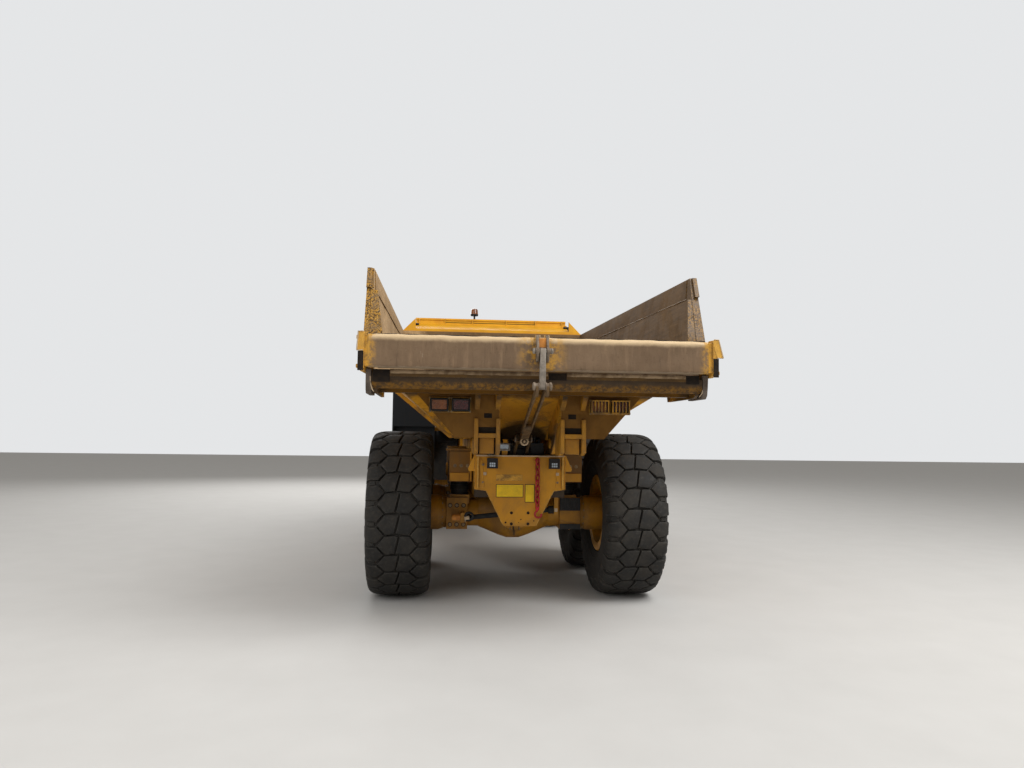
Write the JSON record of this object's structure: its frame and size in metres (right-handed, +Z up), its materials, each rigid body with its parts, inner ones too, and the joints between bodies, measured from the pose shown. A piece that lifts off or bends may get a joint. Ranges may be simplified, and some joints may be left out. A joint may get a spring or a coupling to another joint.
{
  "type": "articulated dump truck",
  "caption": "Six-wheel articulated dump truck: hinged front unit with cab and hood, rear frame on a walking-beam bogie, tipping load body with a drop tailgate.",
  "frame": {"origin": "on the ground under the middle of the machine, halfway along its length and width", "axes": "+X forward towards the bumper, +Y to the left side, +Z up"},
  "size_m": [10.715, 3, 3.6614],
  "materials": {
    "tyre": "worn rubber with dust",
    "rim_paint": "yellow paint, dirty",
    "frame_paint": "yellow paint, dirty",
    "slate_paint": "dark blue grey paint",
    "hood_paint": "yellow paint",
    "body_paint": "yellow paint, worn inside",
    "worn_steel": "worn brown grey steel",
    "black_metal": "black paint",
    "rod_steel": "polished rod",
    "link_steel": "greasy steel",
    "rubber": "rubber springs",
    "engine_grey": "painted castings",
    "cab_trim": "moulded trim",
    "glass": "tinted glass",
    "amber_lens": "amber lens",
    "red_lens": "red and amber lenses",
    "clear_lens": "clear lens",
    "chain_red": "red safety chain"
  },
  "bodies": {
    "rear_frame": {"rear_frame": "frame_paint", "rear_plate": "frame_paint", "bogie_axles": "frame_paint", "bogie_beams": "frame_paint", "suspension": "rubber", "tow_chain": "chain_red"},
    "hitch": {"hitch_yoke": "frame_paint"},
    "front_frame": {"front_frame": "frame_paint", "front_axle": "frame_paint", "bumper": "slate_paint", "engine": "engine_grey", "cab_shell": "slate_paint", "cab_glass": "glass", "cab_interior": "cab_trim", "fenders": "slate_paint", "steps": "black_metal", "mirrors": "black_metal", "exhaust": "black_metal", "beacon": "amber_lens", "front_lamps": "clear_lens"},
    "hood": {"hood": "hood_paint", "grille": "black_metal"},
    "cab_door": {"cab_door": "slate_paint", "door_glass": "glass"},
    "dump_body": {"dump_body": "body_paint", "rear_lamps": "red_lens"},
    "tailgate": {"tailgate": "worn_steel"},
    "gate_link": {"gate_link": "link_steel"},
    "gate_rod": {"gate_rod": "link_steel"},
    "hoist_barrels": {"hoist_barrels": "frame_paint"},
    "hoist_rods": {"hoist_rods": "rod_steel"},
    "steer_barrel_left": {"steer_barrel_left": "black_metal"},
    "steer_rod_left": {"steer_rod_left": "rod_steel"},
    "steer_barrel_right": {"steer_barrel_right": "black_metal"},
    "steer_rod_right": {"steer_rod_right": "rod_steel"},
    "wheel_front_left": {"tyre_front_left": "tyre", "rim_front_left": "rim_paint"},
    "wheel_front_right": {"tyre_front_right": "tyre", "rim_front_right": "rim_paint"},
    "wheel_mid_left": {"tyre_mid_left": "tyre", "rim_mid_left": "rim_paint"},
    "wheel_mid_right": {"tyre_mid_right": "tyre", "rim_mid_right": "rim_paint"},
    "wheel_rear_left": {"tyre_rear_left": "tyre", "rim_rear_left": "rim_paint"},
    "wheel_rear_right": {"tyre_rear_right": "tyre", "rim_rear_right": "rim_paint"}
  },
  "joints": [
    {"name": "hitch_roll", "type": "hinge", "parent": "rear_frame", "child": "hitch", "pos_m": [1.4975, 0, 0.87], "axis": [1, 0, 0], "range_deg": [-20, 20]},
    {"name": "steer", "type": "hinge", "parent": "hitch", "child": "front_frame", "pos_m": [1.4975, 0, 0.87], "axis": [0, 0, 1], "range_deg": [-45, 45]},
    {"name": "wheel_front_left_spin", "type": "hinge", "parent": "front_frame", "child": "wheel_front_left", "pos_m": [2.7075, 1.108, 0.8], "axis": [0, 1, 0], "continuous": true},
    {"name": "wheel_front_right_spin", "type": "hinge", "parent": "front_frame", "child": "wheel_front_right", "pos_m": [2.7075, -1.108, 0.8], "axis": [0, 1, 0], "continuous": true},
    {"name": "wheel_mid_left_spin", "type": "hinge", "parent": "rear_frame", "child": "wheel_mid_left", "pos_m": [-1.4675, 1.108, 0.8], "axis": [0, 1, 0], "continuous": true},
    {"name": "wheel_mid_right_spin", "type": "hinge", "parent": "rear_frame", "child": "wheel_mid_right", "pos_m": [-1.4675, -1.108, 0.8], "axis": [0, 1, 0], "continuous": true},
    {"name": "wheel_rear_left_spin", "type": "hinge", "parent": "rear_frame", "child": "wheel_rear_left", "pos_m": [-3.1375, 1.108, 0.8], "axis": [0, 1, 0], "continuous": true},
    {"name": "wheel_rear_right_spin", "type": "hinge", "parent": "rear_frame", "child": "wheel_rear_right", "pos_m": [-3.1375, -1.108, 0.8], "axis": [0, 1, 0], "continuous": true},
    {"name": "body_tip", "type": "hinge", "parent": "rear_frame", "child": "dump_body", "pos_m": [-4.0375, 0, 1.5], "axis": [0, -1, 0], "range_deg": [0, 70]},
    {"name": "gate_drop", "type": "hinge", "parent": "dump_body", "child": "tailgate", "pos_m": [-3.9875, 0, 2.13], "axis": [0, -1, 0], "range_deg": [0, 12.05]},
    {"name": "gate_link_swing", "type": "hinge", "parent": "tailgate", "child": "gate_link", "pos_m": [-5.3325, 0, 2.19], "axis": [0, -1, 0], "range_deg": [-12.9, 0]},
    {"name": "gate_rod_swing", "type": "hinge", "parent": "rear_frame", "child": "gate_rod", "pos_m": [-4.0875, 0, 1.54], "axis": [0, -1, 0], "range_deg": [0, 83.8]},
    {"name": "hoist_swing", "type": "hinge", "parent": "rear_frame", "child": "hoist_barrels", "pos_m": [-0.5375, 0, 0.92], "axis": [0, 1, 0], "range_deg": [0, 21.6]},
    {"name": "hoist_stroke", "type": "slide", "parent": "hoist_barrels", "child": "hoist_rods", "axis": [-0.9727, 0, 0.232], "range_m": [0, 1.4871]},
    {"name": "steer_swing_left", "type": "hinge", "parent": "front_frame", "child": "steer_barrel_left", "pos_m": [2.4475, 0.36, 0.87], "axis": [0, 0, 1], "range_deg": [-2.2, 2.2]},
    {"name": "steer_stroke_left", "type": "slide", "parent": "steer_barrel_left", "child": "steer_rod_left", "axis": [-0.998, -0.063, 0], "range_m": [-0.212, 0.212]},
    {"name": "steer_swing_right", "type": "hinge", "parent": "front_frame", "child": "steer_barrel_right", "pos_m": [2.4475, -0.36, 0.87], "axis": [0, 0, 1], "range_deg": [-2.2, 2.2]},
    {"name": "steer_stroke_right", "type": "slide", "parent": "steer_barrel_right", "child": "steer_rod_right", "axis": [-0.998, 0.063, 0], "range_m": [-0.212, 0.212]},
    {"name": "hood_lift", "type": "hinge", "parent": "front_frame", "child": "hood", "pos_m": [4.9875, 0, 1.31], "axis": [0, 1, 0], "range_deg": [0, 50]},
    {"name": "cab_door_swing", "type": "hinge", "parent": "front_frame", "child": "cab_door", "pos_m": [2.1215, 0.796, 2.4], "axis": [0, 0, 1], "range_deg": [0, 80]}
  ],
  "couplings": [
    {"joint": "gate_drop", "follows": "body_tip", "ratio": 0.17143},
    {"joint": "gate_link_swing", "follows": "body_tip", "ratio": -0.18286},
    {"joint": "gate_rod_swing", "follows": "body_tip", "ratio": 1.1957},
    {"joint": "hoist_swing", "follows": "body_tip", "ratio": 0.30711},
    {"joint": "hoist_stroke", "follows": "body_tip", "m_per_rad": 1.2156},
    {"joint": "steer_swing_left", "follows": "steer", "ratio": 0.04534},
    {"joint": "steer_swing_right", "follows": "steer", "ratio": 0.04534},
    {"joint": "steer_stroke_left", "follows": "steer", "m_per_rad": -0.26672},
    {"joint": "steer_stroke_right", "follows": "steer", "m_per_rad": 0.26672}
  ]
}
